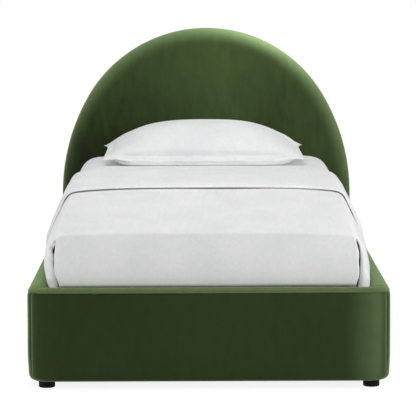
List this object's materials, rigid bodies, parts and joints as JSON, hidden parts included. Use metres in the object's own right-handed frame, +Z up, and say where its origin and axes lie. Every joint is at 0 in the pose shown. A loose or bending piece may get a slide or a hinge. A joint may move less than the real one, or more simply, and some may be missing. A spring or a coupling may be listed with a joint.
{
  "type": "platform bed",
  "caption": "Single padded platform bed with a round-topped headboard, low box rails, slatted base and short round feet, made up with mattress, duvet and pillow.",
  "frame": {"origin": "on the floor, at the centre of the bed's footprint", "axes": "+Z up, +Y from the foot end to the headboard, +X to the right as seen from the foot end"},
  "size_m": [1.14, 2.09, 1.0658],
  "materials": {
    "green_velvet": "matte",
    "upholstery_foam": "matte",
    "black_cloth": "matte",
    "plywood": "matte",
    "slat_wood": "satin",
    "frame_timber": "matte",
    "zinc_steel": "satin",
    "black_steel": "satin",
    "black_plastic": "matte",
    "mattress_ticking": "matte",
    "white_cotton": "matte"
  },
  "bodies": {
    "frame": {"beam_hanger_foot": "black_steel", "beam_hanger_head": "black_steel", "beam_screws": "zinc_steel", "bracket_bolts": "zinc_steel", "centre_beam": "frame_timber", "centre_leg_back": "black_steel", "centre_leg_front": "black_steel", "foot_back_left": "black_plastic", "foot_back_right": "black_plastic", "foot_bracket_left": "black_steel", "foot_bracket_right": "black_steel", "foot_corner_block_left": "frame_timber", "foot_corner_block_right": "frame_timber", "foot_front_left": "black_plastic", "foot_front_right": "black_plastic", "foot_rail_board": "frame_timber", "foot_rail_cover": "green_velvet", "foot_rail_foam": "upholstery_foam", "headboard_bracket_left": "black_steel", "headboard_bracket_right": "black_steel", "headboard_cover": "green_velvet", "headboard_dust_cloth": "black_cloth", "headboard_foam": "upholstery_foam", "headboard_lower_crossbar": "frame_timber", "headboard_middle_crossbar": "frame_timber", "headboard_panel": "plywood", "headboard_post_left": "frame_timber", "headboard_post_right": "frame_timber", "headboard_rib": "frame_timber", "ledger_screws": "zinc_steel", "side_rail_board_left": "frame_timber", "side_rail_board_right": "frame_timber", "side_rail_cover_left": "green_velvet", "side_rail_cover_right": "green_velvet", "side_rail_foam_left": "upholstery_foam", "side_rail_foam_right": "upholstery_foam", "slat_01": "slat_wood", "slat_02": "slat_wood", "slat_03": "slat_wood", "slat_04": "slat_wood", "slat_05": "slat_wood", "slat_06": "slat_wood", "slat_07": "slat_wood", "slat_08": "slat_wood", "slat_09": "slat_wood", "slat_10": "slat_wood", "slat_11": "slat_wood", "slat_12": "slat_wood", "slat_ledger_left": "frame_timber", "slat_ledger_right": "frame_timber", "slat_screws": "zinc_steel", "threaded_inserts": "zinc_steel"},
    "bedding": {"mattress": "mattress_ticking", "fitted_sheet": "white_cotton", "duvet": "white_cotton"},
    "loose_pillow": {"pillow": "white_cotton"},
    "front_glide": {"centre_glide_front": "black_plastic"},
    "back_glide": {"centre_glide_back": "black_plastic"}
  },
  "joints": [
    {"name": "bedding_lift", "type": "slide", "parent": "frame", "child": "bedding", "axis": [0, 0, 1], "range_m": [0, 0.35]},
    {"name": "pillow_lift", "type": "slide", "parent": "bedding", "child": "loose_pillow", "axis": [0, 0, 1], "range_m": [0, 0.25]},
    {"name": "front_glide_screw", "type": "slide", "parent": "frame", "child": "front_glide", "axis": [0, 0, -1], "range_m": [0, 0.012]},
    {"name": "back_glide_screw", "type": "slide", "parent": "frame", "child": "back_glide", "axis": [0, 0, -1], "range_m": [0, 0.012]}
  ]
}
